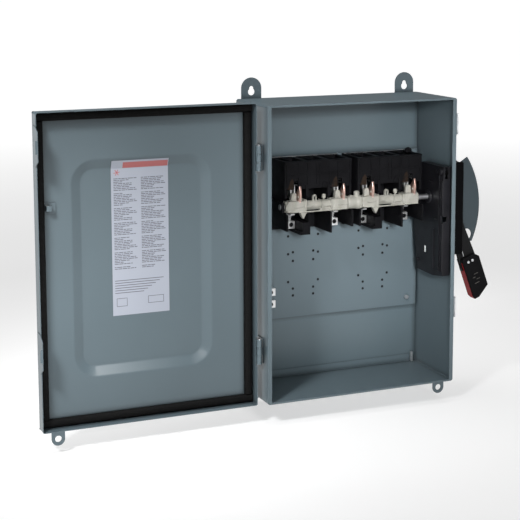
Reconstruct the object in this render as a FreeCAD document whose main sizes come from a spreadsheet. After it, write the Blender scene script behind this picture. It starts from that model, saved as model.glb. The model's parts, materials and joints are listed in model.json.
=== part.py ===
"""Wall-mounted safety switch: a steel enclosure with a hinged door, a four-pole
knife-blade switch, its spring-driven mechanism and an outside operating handle.

Origin: on the wall plane, centred between the mounting tabs, level with the
bottom of the box.  X runs to the right as seen from the front, Y runs into the
wall, Z runs up.  The door stands open by half a turn and the handle is OFF.
All sizes are in millimetres.
"""
import FreeCAD, Part
import math
import os
import re

import Sketcher

Vector = FreeCAD.Vector
doc = FreeCAD.newDocument("safety_switch")
sheet = doc.addObject("Spreadsheet::Sheet", "dims")

# ---------------------------------------------------------------- driving dimensions
DRIVING = {
    # enclosure
    "box_width": 438, "box_height": 620, "box_depth": 172, "wall": 2, "corner_radius": 5,
    "rim_side": 9, "rim_end": 4, "tab_thick": 2.5, "tab_width": 46, "tab_x": 184,
    "tab_rise": 21.5, "tab_overlap": 60, "bolt_radius": 4.8, "lobe_radius": 7.5, "lobe_drop": 7.5,
    # mounting pan
    "pan_half": 214, "pan_low": 137, "pan_high": 493, "pan_front": 12,
    "pan_screw_x": 190, "pan_screw_edge": 18, "tapped_radius": 2,
    # poles and moulded bases
    "group_left": -67.2, "group_right": 103.7, "pole_pitch": 50.8, "base_half": 78,
    "base_low": 386, "base_high": 492, "base_front": 90, "barrier": 7, "base_back": 8,
    "fin_low": 336, "fin_front": 100, "fin": 4, "recess_radius": 35,
    "notch_radius": 17, "blade_slot": 5,
    # rotor
    "rotor_y": -95, "rotor_z": 398, "bar_radius": 10, "shaft_radius": 6, "bar_left": -150,
    "bar_right": 166, "blade_thick": 5, "blade_lean": 14, "blade_reach": 46, "running_gap": 0.06,
    "rotor_travel": 60,
    # mechanism
    "mech_face": 197, "mech_back": 216.5, "mech_skin": 2.5, "lever_reach": 37.6,
    "pin_radius": 3, "slot_gap": 1, "spring_radius": 5.5,
    "spring_low": 262, "slide_low": 340, "hook_y": -147, "hook_z": 452, "hook_thick": 3,
    # outside handle
    "handle_x": 247, "handle_y": -112, "handle_z": 362, "handle_lean": 20, "crank_reach": 20,
    "base_reach": 46, "hood_low": 270, "hood_high": 474, "hood_half": 18, "hood_skin": 2.5,
    "hood_slot": 10, "hood_cap": 39, "guard_thick": 3, "guard_reach": 126,
    "guard_arc_x": 117.5, "guard_arc_z": 375, "guard_arc": 197, "guard_low": 294, "guard_tip": 283,
    "guard_hole_x": 283, "guard_hole_z": 309.5, "guard_hole": 13,
    "arm_thick": 3, "arm_half": 13, "arm_foot": 22, "arm_gap": 0.5, "pivot_radius": 5,
    "web_start": 128, "web_end": 135, "grip_start": 107, "grip_end": 206,
    "grip_left": 19, "grip_right": 26, "grip_thick": 28, "grip_side": 188, "insert_half": 10,
    # door
    "door_half": 226.5, "door_low": -4.3, "door_high": 624.7, "door_skin": 1.5,
    "door_front": 184, "door_edge": 154, "hinge_x": -229.9, "hinge_y": -152.5,
    "panel_left": -140, "panel_right": 155, "panel_low": 87, "panel_high": 528,
    "panel_rise": 8, "panel_slope": 21, "panel_radius": 50, "gasket_wide": 17,
    "gasket_thick": 9.9, "label_left": -48.5, "label_right": 70, "label_low": 207,
    "label_high": 504.5, "label_thick": 0.8,
    # hinges, latches and padlock points
    "hinge_high": 513, "hinge_low": 110, "hinge_half": 26, "knuckle_radius": 5.5,
    "hinge_pin": 2.5, "leaf": 2, "latch_high": 560, "latch_low": 156, "latch_half": 20,
    "latch_pin_x": 228, "latch_pin_y": -106, "bail_x": 236, "bail_y": -100, "bail_reach": 41.5,
    "bail_wire": 2, "bail_angle": -85, "lock_x": 196, "lock_z": -18, "shackle_radius": 6.5,
    "lock_round": 13.5,
    # ground bar
    "ground_x": -156, "ground_y": -42, "ground_high": 204, "ground_low": 178,
}
for row, (alias, value) in enumerate(DRIVING.items(), 1):
    sheet.set(f"A{row}", alias)
    sheet.set(f"B{row}", str(value))
    sheet.setAlias(f"B{row}", alias)
doc.recompute()

WORD = re.compile(r"[a-z_]{3,}")
FUNCTIONS = {"cos", "sin", "tan", "sqrt"}
AXES = {"x": Vector(1, 0, 0), "y": Vector(0, 1, 0), "z": Vector(0, 0, 1)}
nodes = {}


def formula(text):
    """Write a formula of aliases the way the expression engine reads it."""
    return WORD.sub(lambda word: word[0] if word[0] in FUNCTIONS else "dims." + word[0], str(text))


def value(text):
    """Work a formula of aliases out as a plain number."""
    names = {alias: float(sheet.get(alias)) for alias in set(WORD.findall(str(text))) - FUNCTIONS}
    total = FreeCAD.Units.Quantity(WORD.sub(lambda word: f"({names[word[0]]})", str(text)))
    return total.Value


def bind(item, name, text):
    item.setExpression(name, formula(text))


def finish_node(label, item, placement=None):
    """Name a finished sub-part and put it in its place."""
    item.Label = label
    if placement is not None:
        item.Placement = placement
    nodes[label] = item
    return item


# ---------------------------------------------------------------- primitives and booleans
def block(x, y, z):
    """A box between the low and high formulas given for each axis."""
    item = doc.addObject("Part::Box", "block")
    for axis, size, (low, high) in zip("xyz", ("Length", "Width", "Height"), (x, y, z)):
        bind(item, f".Placement.Base.{axis}", low)
        bind(item, size, f"({high}) - ({low})")
    return item


def rod(axis, centre, span, radius):
    """A cylinder along an axis: centre is its place on the other two axes, in order."""
    item = doc.addObject("Part::Cylinder", "rod")
    others = [letter for letter in "xyz" if letter != axis]
    item.Placement = FreeCAD.Placement(Vector(), FreeCAD.Rotation(AXES["z"], AXES[axis]))
    for letter, place in zip(others, centre):
        bind(item, f".Placement.Base.{letter}", place)
    bind(item, f".Placement.Base.{axis}", span[0])
    bind(item, "Radius", radius)
    bind(item, "Height", f"({span[1]}) - ({span[0]})")
    return item


def plate(outline, span):
    """A flat piece: an outline of X and Z formulas, thickened along Y over a span."""
    wire = Part.makePolygon([Vector(value(x), value(span[0]), value(z)) for x, z in outline + outline[:1]])
    item = doc.addObject("Part::Feature", "plate")
    item.Shape = Part.Face(wire).extrude(Vector(0, value(span[1]) - value(span[0]), 0))
    return item


def fuse(*items):
    if len(items) == 1:
        return items[0]
    result = doc.addObject("Part::MultiFuse", "fuse")
    result.Shapes = list(items)
    result.Refine = True
    return result


def group(*items):
    """Several separate solids that share one sub-part."""
    result = doc.addObject("Part::Compound", "group")
    result.Links = list(items)
    return result


def cut(base, *tools):
    result = doc.addObject("Part::Cut", "cut")
    result.Base = base
    result.Tool = fuse(*tools)
    result.Refine = True
    return result


def common(*items):
    result = doc.addObject("Part::MultiCommon", "common")
    result.Shapes = list(items)
    return result


def turned(item, axis, angle, centre):
    """A holder round the item, turned about an axis through a centre."""
    holder = group(item)
    middle = Vector(*[value(place) for place in centre])
    turn = FreeCAD.Rotation(AXES[axis], value(angle))
    holder.Placement = FreeCAD.Placement(Vector(), turn, middle)
    return holder


def round_edges(item, radius, wanted):
    """Fillet the edges that the wanted function picks."""
    doc.recompute()
    result = doc.addObject("Part::Fillet", "rounded")
    result.Base = item
    size = value(radius)
    result.Edges = [(i, size, size) for i, edge in enumerate(item.Shape.Edges, 1) if wanted(edge)]
    return result


def along(edge, axis):
    """True where a straight edge runs along the axis."""
    if edge.Curve.TypeId != "Part::GeomLine":
        return False
    return abs(edge.Curve.Direction.dot(AXES[axis])) > 0.999


# ---------------------------------------------------------------- PartDesign helpers
def new_body(label):
    item = doc.addObject("PartDesign::Body", label)
    nodes[label] = item
    return item


def new_sketch(body, plane, offset="0"):
    sketch = body.newObject("Sketcher::SketchObject", body.Label + "_sketch")
    origin = next(item for item in body.Origin.OriginFeatures if item.Role == plane + "_Plane")
    sketch.AttachmentSupport = [(origin, "")]
    sketch.MapMode = "FlatFace"
    bind(sketch, ".AttachmentOffset.Base.z", offset)
    return sketch


def polygon(sketch, points):
    """A closed outline whose corners are pairs of formulas."""
    spots = [Vector(value(across), value(up), 0) for across, up in points]
    count = len(spots)
    first = sketch.GeometryCount
    for i, spot in enumerate(spots):
        sketch.addGeometry(Part.LineSegment(spot, spots[(i + 1) % count]))
    for i in range(count):
        sketch.addConstraint(Sketcher.Constraint("Coincident", first + i, 2, first + (i + 1) % count, 1))
    for i, pair in enumerate(points):
        for kind, text in zip(("DistanceX", "DistanceY"), pair):
            number = sketch.addConstraint(Sketcher.Constraint(kind, -1, 1, first + i, 1, value(text)))
            sketch.setExpression(f"Constraints[{number}]", formula(text))


def rectangle(sketch, across, up):
    polygon(sketch, [(across[0], up[0]), (across[1], up[0]), (across[1], up[1]), (across[0], up[1])])


def rounded_rectangle(sketch, across, up, radius):
    """Four lines and four equal arcs, tangent all round."""
    left, right = value(across[0]), value(across[1])
    low, high = value(up[0]), value(up[1])
    size = value(radius)
    first = sketch.GeometryCount
    corners = [(right - size, low + size, -90), (right - size, high - size, 0),
               (left + size, high - size, 90), (left + size, low + size, 180)]
    lines = [((left + size, low), (right - size, low)), ((right, low + size), (right, high - size)),
             ((right - size, high), (left + size, high)), ((left, high - size), (left, low + size))]
    for (start, end), (x, y, angle) in zip(lines, corners):
        sketch.addGeometry(Part.LineSegment(Vector(*start, 0), Vector(*end, 0)))
        circle = Part.Circle(Vector(x, y, 0), Vector(0, 0, 1), size)
        sketch.addGeometry(Part.ArcOfCircle(circle, math.radians(angle), math.radians(angle + 90)))
    for i in range(4):
        line, arc = first + 2 * i, first + 2 * i + 1
        sketch.addConstraint(Sketcher.Constraint("Tangent", line, 2, arc, 1))
        sketch.addConstraint(Sketcher.Constraint("Tangent", arc, 2, first + (2 * i + 2) % 8, 1))
        sketch.addConstraint(Sketcher.Constraint("Horizontal" if i % 2 == 0 else "Vertical", line))
        if i:
            sketch.addConstraint(Sketcher.Constraint("Equal", first + 1, arc))
    bounds = (("DistanceY", 0, up[0]), ("DistanceX", 2, across[1]), ("DistanceY", 4, up[1]),
              ("DistanceX", 6, across[0]))
    for kind, line, text in bounds:
        number = sketch.addConstraint(Sketcher.Constraint(kind, -1, 1, first + line, 1, value(text)))
        sketch.setExpression(f"Constraints[{number}]", formula(text))
    number = sketch.addConstraint(Sketcher.Constraint("Radius", first + 1, size))
    sketch.setExpression(f"Constraints[{number}]", formula(radius))


def circles(sketch, places, radius):
    for pair in places:
        spot = Vector(value(pair[0]), value(pair[1]), 0)
        index = sketch.addGeometry(Part.Circle(spot, Vector(0, 0, 1), value(radius)))
        for kind, text in zip(("DistanceX", "DistanceY"), pair):
            number = sketch.addConstraint(Sketcher.Constraint(kind, -1, 1, index, 3, value(text)))
            sketch.setExpression(f"Constraints[{number}]", formula(text))
        number = sketch.addConstraint(Sketcher.Constraint("Radius", index, value(radius)))
        sketch.setExpression(f"Constraints[{number}]", formula(radius))


def pad(body, sketch, length):
    item = body.newObject("PartDesign::Pad", body.Label + "_pad")
    item.Profile = sketch
    bind(item, "Length", length)
    doc.recompute()
    return item


def pocket(body, sketch, length):
    """A pocket against the sketch's normal, which has to take material away."""
    before = body.Shape.Volume
    item = body.newObject("PartDesign::Pocket", body.Label + "_pocket")
    item.Profile = sketch
    bind(item, "Length", length)
    doc.recompute()
    if body.Shape.Volume > before - 1e-3:
        raise SystemExit(f"{body.Label}: a pocket cut nothing")
    return item


def fillet(body, radius, wanted):
    base = body.Tip
    item = body.newObject("PartDesign::Fillet", body.Label + "_fillet")
    names = [f"Edge{i}" for i, edge in enumerate(base.Shape.Edges, 1) if wanted(edge)]
    item.Base = (base, names)
    bind(item, "Radius", radius)
    doc.recompute()
    return item


# ---------------------------------------------------------------- enclosure
def make_enclosure():
    """Folded steel box with a narrow rim lip round its open front."""
    body = new_body("enclosure_box")
    sketch = new_sketch(body, "XZ", "tab_thick")
    rectangle(sketch, ("-box_width / 2", "box_width / 2"), ("0", "box_height"))
    pad(body, sketch, "box_depth - tab_thick")
    fillet(body, "corner_radius", lambda edge: along(edge, "y"))
    sketch = new_sketch(body, "XZ", "box_depth - wall")
    rounded_rectangle(sketch, ("-box_width / 2 + wall", "box_width / 2 - wall"),
                      ("wall", "box_height - wall"), "corner_radius - wall")
    pocket(body, sketch, "box_depth - tab_thick - 2 * wall")
    sketch = new_sketch(body, "XZ", "box_depth")
    rectangle(sketch, ("-box_width / 2 + rim_side", "box_width / 2 - rim_side"),
              ("rim_end", "box_height - rim_end"))
    pocket(body, sketch, "2 * wall")
    sketch = new_sketch(body, "YZ", "box_width / 2")
    rectangle(sketch, ("handle_y + 6", "handle_y + 13"), ("handle_z - 36", "handle_z + 36"))
    pocket(body, sketch, "2 * wall")


def make_wall_tab(label, side, top):
    """Tab welded behind the box: a keyhole at the top, a plain hole below."""
    middle = f"{side} * tab_x"
    root, centre, inner = ("box_height", "box_height + tab_rise", "box_height - tab_overlap")
    if not top:
        root, centre, inner = ("0", "0 - tab_rise", "tab_overlap")
    through = ("0 - tab_thick - 1", "1")
    span = ("0 - tab_thick", "0")
    low, high = (inner, centre) if top else (centre, inner)
    plate = fuse(block((f"{middle} - tab_width / 2", f"{middle} + tab_width / 2"), span, (low, high)),
                 rod("y", (middle, centre), span, "tab_width / 2"))
    holes = [rod("y", (middle, centre), through, "bolt_radius")]
    if top:
        lobe = f"{centre} - lobe_drop"
        holes.append(rod("y", (middle, lobe), through, "lobe_radius"))
        holes.append(block((f"{middle} - bolt_radius", f"{middle} + bolt_radius"), through,
                           (lobe, centre)))
    finish_node(label, cut(plate, *holes))


# Screw positions of one switch group on the pan, from the group's centre line.
PAN_HOLES = [(35.8, 317), (24.4, 281), (35.8, 277.5), (24.4, 261.7), (35.8, 215.6), (24.4, 200.1),
             (24.4, 184.8)]


def pan_screw_places():
    sides = ("-pan_screw_x", "pan_screw_x")
    levels = ("pan_low + pan_screw_edge", "pan_high - pan_screw_edge")
    return [(across, up) for across in sides for up in levels]


def make_pan():
    """Steel pan with its ends folded back against the box, drilled for every switch size."""
    body = new_body("mounting_pan")
    sketch = new_sketch(body, "XZ", "pan_front - wall")
    rectangle(sketch, ("-pan_half", "pan_half"), ("pan_low", "pan_high"))
    pad(body, sketch, "wall")
    for low, high in (("pan_low", "pan_low + wall"), ("pan_high - wall", "pan_high")):
        sketch = new_sketch(body, "XZ", "tab_thick + wall")
        rectangle(sketch, ("-pan_half", "pan_half"), (low, high))
        pad(body, sketch, "pan_front - tab_thick - wall")
    sketch = new_sketch(body, "XZ", "pan_front")
    circles(sketch, [(f"group_left + {side * across}", str(up)) for across, up in PAN_HOLES
                     for side in (-1, 1)], "tapped_radius")
    holes = pocket(body, sketch, "wall + 1")
    pattern = body.newObject("PartDesign::LinearPattern", "pan_pattern")
    pattern.Originals = [holes]
    pattern.Direction = (next(item for item in body.Origin.OriginFeatures if item.Role == "X_Axis"), [""])
    pattern.Occurrences = 2
    bind(pattern, "Length", "group_right - group_left")
    body.Tip = pattern
    doc.recompute()
    sketch = new_sketch(body, "XZ", "pan_front")
    circles(sketch, pan_screw_places(), "tapped_radius + 0.5")
    pocket(body, sketch, "wall + 1")


def panel_screw(across, up, seat):
    """Pan-head screw with a cross recess, its head seated at a depth from the wall."""
    head = rod("y", (across, up), (f"0 - ({seat}) - 3", f"0 - ({seat})"), "4.5")
    shank = rod("y", (across, up), (f"0 - ({seat})", f"6 - ({seat})"), "tapped_radius + 0.4")
    recess = (f"-1 - ({seat}) - 3", f"1.2 - ({seat}) - 3")
    bars = [block((f"{across} - {wide}", f"{across} + {wide}"), recess, (f"{up} - {tall}", f"{up} + {tall}"))
            for wide, tall in ((2.6, 0.5), (0.5, 2.6))]
    return cut(fuse(head, shank), *bars)


def make_screws():
    screws = [panel_screw(across, up, "pan_front") for across, up in pan_screw_places()]
    for centre in ("group_left", "group_right"):
        screws.append(panel_screw(centre, "fin_low + 16", "pan_front + base_back"))
    finish_node("panel_screws", group(*screws))


# ---------------------------------------------------------------- switch bases
def make_line_base(label, centre):
    """Moulded upper base: three chambers with wire holes, cut away round the rotor."""
    span = (f"{centre} - base_half", f"{centre} + base_half")
    shell = block(span, ("0 - base_front", "0 - pan_front"), ("base_low", "base_high"))
    tools = [rod("x", ("rotor_y", "rotor_z"), (span[0] + " - 1", span[1] + " + 1"), "notch_radius")]
    for step in (-1, 0, 1):
        pole = f"{centre} + {step} * pole_pitch"
        inside = (f"{pole} - pole_pitch / 2 + barrier / 2", f"{pole} + pole_pitch / 2 - barrier / 2")
        tools.append(block(inside, ("6 - base_front", "0 - pan_front - base_back"),
                           ("base_low - 1", "base_high - 9")))
        tools.append(rod("x", ("rotor_y", "rotor_z"), inside, "recess_radius"))
        for window in ((f"{pole} - 21.9", f"{pole} - 11.2"), (f"{pole} - 8.8", f"{pole} + 18")):
            tools.append(block(window, ("8 - base_front", "0 - pan_front - base_back - 6"),
                               ("base_high - 12", "base_high + 1")))
        if step:
            tools.append(block((f"{pole} - blade_slot", f"{pole} + blade_slot"),
                               ("-1 - base_front", "7 - base_front"), ("rotor_z", "rotor_z + 52")))
    finish_node(label, cut(shell, *tools))


def make_load_base(label, centre):
    """Moulded lower base: phase barriers, a back plate and the foot blocks."""
    back = block((f"{centre} - base_half", f"{centre} + base_half"),
                 ("0 - pan_front - base_back", "0 - pan_front"), ("fin_low", "base_low"))
    parts = [back]
    for step, low in ((-1.5, 10), (-0.5, 0), (0.5, 0), (1.5, 10)):
        wall = f"{centre} + {step} * pole_pitch"
        parts.append(block((f"{wall} - fin / 2", f"{wall} + fin / 2"),
                           ("0 - fin_front", "0 - pan_front"), (f"fin_low + {low}", "base_low")))
    for start, rise in ((46, 6), (41, 26)):
        parts.append(block((f"{centre} - {start}", f"{centre} - 0.5 * pole_pitch"),
                           ("0 - fin_front", "0 - pan_front"), ("fin_low", f"fin_low + {rise}")))
    tools = [rod("x", ("rotor_y", "rotor_z"), (f"{centre} - 90", f"{centre} + 90"), "notch_radius"),
             rod("y", (centre, "fin_low + 16"), ("-30", "-10"), "tapped_radius + 0.5")]
    finish_node(label, cut(fuse(*parts), *tools))


POLES = [("group_left", -1), ("group_left", 1), ("group_right", -1), ("group_right", 1)]


def make_terminals():
    """Line jaws and load straps of the four poles, with their cable lugs and set screws."""
    line_lugs, load_lugs, set_screws = [], [], []
    for number, (centre, side) in enumerate(POLES, 1):
        pole = f"({centre} + {side} * pole_pitch)"
        back = "0 - pan_front - base_back"
        jaws = [block((f"{pole} + {low}", f"{pole} + {high}"), ("-70", "-44"), ("410", "438"))
                for low, high in ((-5.5, -2.9), (2.9, 5.5))]
        strap = block((f"{pole} - 7", f"{pole} + 7"), (back + " - 3", back), ("410", "478"))
        bridge = block((f"{pole} - 5.5", f"{pole} + 5.5"), ("-46", back), ("420", "432"))
        finish_node(f"line_terminal_{number}", fuse(strap, bridge, *jaws))
        lug = block((f"{pole} - 8", f"{pole} + 8"), ("-58", back + " - 3"), ("458", "476"))
        line_lugs.append(cut(lug, rod("z", (pole, "-48"), ("450", "480"), "5"),
                             rod("y", (pole, "467"), ("-60", "-50"), "3.5")))
        set_screws.append(rod("y", (pole, "467"), ("-59.5", "-53.5"), "3.5"))

        strap = block((f"{pole} - 5", f"{pole} + 5"), ("-49", "-46"), ("344", "392"))
        foot = block((f"{pole} - 6", f"{pole} + 6"), ("-49", back), ("366", "370"))
        finger = block((f"{pole} - 5", f"{pole} + 5"), ("-70", "-46"), ("374", "377"))
        finish_node(f"load_terminal_{number}", fuse(strap, foot, finger))
        lug = block((f"{pole} - 7.75", f"{pole} + 7.75"), ("-63", "-49"), ("344", "360"))
        load_lugs.append(cut(lug, rod("y", (pole, "352.5"), ("-64", "-58.5"), "5"),
                             rod("y", (pole, "352.5"), ("-60", "-53"), "2.5"),
                             rod("z", (pole, "-53.2"), ("340", "364"), "3.5")))
        screw = fuse(rod("y", (pole, "352.5"), ("-61.5", "-58.5"), "5"),
                     rod("y", (pole, "352.5"), ("-58.5", "-57"), "2.5"))
        set_screws.append(cut(screw, rod("y", (pole, "352.5"), ("-62", "-60"), "2.6")))
    for level in ("ground_high", "ground_low"):
        set_screws.append(rod("y", ("ground_x", level), ("ground_y - 2", "-32"), "4"))
    finish_node("line_lugs", group(*line_lugs))
    finish_node("load_lugs", group(*load_lugs))
    finish_node("lug_screws", group(*set_screws))


# ---------------------------------------------------------------- rotor
def make_rotor():
    """Insulating crossbar on a steel shaft, carrying one blade for each active pole."""
    axis = ("rotor_y", "rotor_z")
    parts = [rod("x", axis, ("bar_left", "bar_right"), "bar_radius")]
    slots = []
    blades = []
    for centre, side in POLES:
        pole = f"({centre} + {side} * pole_pitch)"
        parts.append(block((f"{pole} - 16", f"{pole} + 13"), ("rotor_y - 13", "rotor_y + 11"),
                           ("rotor_z - 12", "rotor_z + 13")))
        parts.append(block((f"{pole} - 14", f"{pole} - 5.5"), ("rotor_y - 10", "rotor_y + 6"),
                           ("rotor_z + 13", "rotor_z + 28")))
        parts.append(block((f"{pole} + 3.5", f"{pole} + 9"), ("rotor_y - 10", "rotor_y + 6"),
                           ("rotor_z + 13", "rotor_z + 18")))
        if side < 0:
            parts.append(block((f"{pole} + 9", f"{pole} + 13"), ("rotor_y - 8", "rotor_y + 6"),
                               ("rotor_z - 25", "rotor_z - 12")))
        outline = block((f"{pole} - blade_thick / 2", f"{pole} + blade_thick / 2"),
                        ("rotor_y - 8", "rotor_y + 8"), ("rotor_z + 5", "rotor_z + blade_reach - 6"))
        point = rod("x", ("rotor_y", "rotor_z + blade_reach - 6"),
                    (f"{pole} - blade_thick / 2", f"{pole} + blade_thick / 2"), "8")
        blade = cut(fuse(outline, point), rod("x", axis, ("-300", "300"), "shaft_radius"))
        blades.append(turned(blade, "x", "blade_lean", ("0", "rotor_y", "rotor_z")))
        slot = block((f"{pole} - blade_thick / 2", f"{pole} + blade_thick / 2"),
                     ("rotor_y - 8", "rotor_y + 8"), ("rotor_z", "rotor_z + blade_reach"))
        slots.append(turned(slot, "x", "blade_lean", ("0", "rotor_y", "rotor_z")))
    for centre in ("group_left", "group_right"):
        for low, high in ((-15, -11), (-9, -5)):
            parts.append(block((f"{centre} + {low}", f"{centre} + {high}"),
                               ("rotor_y - 7", "rotor_y + 7"), ("rotor_z", "rotor_z + 23")))
        parts.append(rod("z", (f"{centre} + 10", "rotor_y - 4"), ("rotor_z", "rotor_z + 22"), "3.6"))
    middle = "(group_left + group_right) / 2"
    parts.append(rod("x", axis, (f"{middle} - 24", f"{middle} + 10"), "bar_radius + 4"))
    parts.append(rod("z", (middle, "rotor_y - 3"), ("rotor_z", "rotor_z + 24"), "6"))
    bore = rod("x", axis, ("-300", "300"), "shaft_radius")
    finish_node("crossbar", cut(fuse(*parts), bore, *slots))
    finish_node("rotor_blades", group(*blades))

    shaft = rod("x", axis, ("bar_left - 10", "mech_face + 9"), "shaft_radius")
    finish_node("rotor_shaft", shaft)
    lever = block(("mech_face + 4", "mech_face + 7.5"), ("rotor_y", "rotor_y + lever_reach + 6"),
                  ("rotor_z - 8.5", "rotor_z + 8.5"))
    hub = rod("x", axis, ("mech_face + 3", "mech_face + 8.5"), "11")
    slot = block(("mech_face", "mech_face + 9"), ("rotor_y + 28.5", "rotor_y + 60"),
                 ("rotor_z - pin_radius - slot_gap", "rotor_z + pin_radius + slot_gap"))
    lever = cut(fuse(lever, hub), rod("x", axis, ("0", "300"), "shaft_radius"), slot)
    finish_node("crank_lever", turned(lever, "x", "rotor_travel / 2", ("0", "rotor_y", "rotor_z")))

    plate = block(("bar_left - 8.5", "bar_left - 3"), ("rotor_y - 11", "0 - pan_front"),
                  ("rotor_z - 11", "rotor_z + 11"))
    foot = block(("bar_left - 8.5", "group_left - base_half"), ("-30", "0 - pan_front"),
                 ("rotor_z - 11", "rotor_z + 11"))
    bore = rod("x", axis, ("-300", "0"), "shaft_radius + running_gap")
    finish_node("rotor_bearing", cut(fuse(plate, foot), bore))


# ---------------------------------------------------------------- mechanism
MECH_OUTLINE = [(-157, 232), (-157, 470), (-60, 470), (-30, 440), (-30, 330), (-48, 228), (-118, 226)]
MECH_INSIDE = [(-154.5, 235), (-154.5, 467.5), (-61, 467.5), (-32.5, 439), (-32.5, 331), (-50, 231),
               (-117, 229)]


def make_mechanism():
    """Moulded cover on the right-hand wall, with the parts that turn handle travel into rotor travel."""
    body = new_body("mechanism_housing")
    sketch = new_sketch(body, "YZ", "mech_face")
    polygon(sketch, MECH_OUTLINE)
    pad(body, sketch, "mech_back - mech_face")
    sketch = new_sketch(body, "YZ", "mech_back")
    polygon(sketch, MECH_INSIDE)
    pocket(body, sketch, "mech_back - mech_face - mech_skin")
    # shelf under the drive spring, stiffening ribs and the hook's pivot
    for across, up, start, length in (
            (("-110", "-90"), ("spring_low - 4", "spring_low"), "mech_face + mech_skin / 2", "17"),
            (("-143", "-140"), ("240", "462"), "mech_face - 2", "3"),
            (("-151", "-148.5"), ("240", "440"), "mech_face - 2", "3"),
            (("-120", "-118"), ("240", "330"), "mech_face - 2", "3")):
        sketch = new_sketch(body, "YZ", start)
        rectangle(sketch, across, up)
        pad(body, sketch, length)
    sketch = new_sketch(body, "YZ", "mech_face + 1")
    circles(sketch, [("hook_y", "hook_z")], "2.5")
    pad(body, sketch, "14")
    # shaft bearing, flag window, trip notch and hook slot
    sketch = new_sketch(body, "YZ", "mech_face + 3")
    circles(sketch, [("rotor_y", "rotor_z")], "shaft_radius + running_gap")
    pocket(body, sketch, "8")
    sketch = new_sketch(body, "YZ", "mech_face + 3")
    rectangle(sketch, ("-86", "-78"), ("271", "286"))
    pocket(body, sketch, "8")
    sketch = new_sketch(body, "YZ", "mech_face + 9")
    rectangle(sketch, ("-158", "-150"), ("350", "362"))
    pocket(body, sketch, "13")
    sketch = new_sketch(body, "YZ", "mech_face + 11")
    rectangle(sketch, ("-158", "-153"), ("444", "469"))
    pocket(body, sketch, "6.5")

    slide = block(("mech_face + 10", "mech_face + 12.5"), ("-120", "-54"), ("slide_low", "slide_low + 85"))
    pin_y = "rotor_y + lever_reach * cos(rotor_travel / 2)"
    pin = rod("x", (pin_y, "rotor_z + lever_reach * sin(rotor_travel / 2)"),
              ("mech_face + 3.5", "mech_face + 11"), "pin_radius")
    crank_z = "handle_z + crank_reach * cos(handle_lean)"
    yoke = block(("mech_face + 11", "handle_x - pivot_radius - 0.6"), ("handle_y + 8", "handle_y + 11"),
                 (f"{crank_z} - 9.5", f"{crank_z} + 9.5"))
    gap = block(("handle_x - 24.5", "handle_x"), ("handle_y + 7", "handle_y + 12"),
                (f"{crank_z} - pin_radius - 2.5", f"{crank_z} + pin_radius + 2.5"))
    finish_node("drive_slide", fuse(slide, pin, cut(yoke, gap)))

    coil = ("mech_face + 11.2", "-100")
    spring = cut(rod("z", coil, ("spring_low", "slide_low"), "spring_radius"),
                 rod("z", coil, ("spring_low - 1", "slide_low + 1"), "spring_radius - 1.6"))
    finish_node("drive_spring", spring)

    flag = fuse(block(("mech_face + mech_skin", "mech_face + 5"), ("-90", "-74"), ("266", "291")),
                block(("mech_face + 0.5", "mech_face + mech_skin"), ("-85.7", "-78.3"), ("271.3", "285.7")))
    finish_node("trip_flag", flag)

    body = new_body("interlock_hook")
    sketch = new_sketch(body, "YZ", "mech_face + 6.5")
    back = [("hook_y + 4", "hook_z - 4"), ("hook_y + 4", "hook_z + 5"), ("hook_y - 8", "hook_z + 10.5"),
            ("hook_y - 19", "hook_z + 13.5")]
    throat = [("hook_y - 19", "hook_z + 3"), ("hook_y - 15.5", "hook_z + 8"), ("hook_y - 8", "hook_z + 4"),
              ("hook_y - 4", "hook_z - 4")]
    polygon(sketch, back + throat)
    pad(body, sketch, "hook_thick")
    sketch = new_sketch(body, "YZ", "mech_face + 7 + hook_thick")
    circles(sketch, [("hook_y", "hook_z")], "2.5 + running_gap")
    pocket(body, sketch, "2 * hook_thick")


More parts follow.
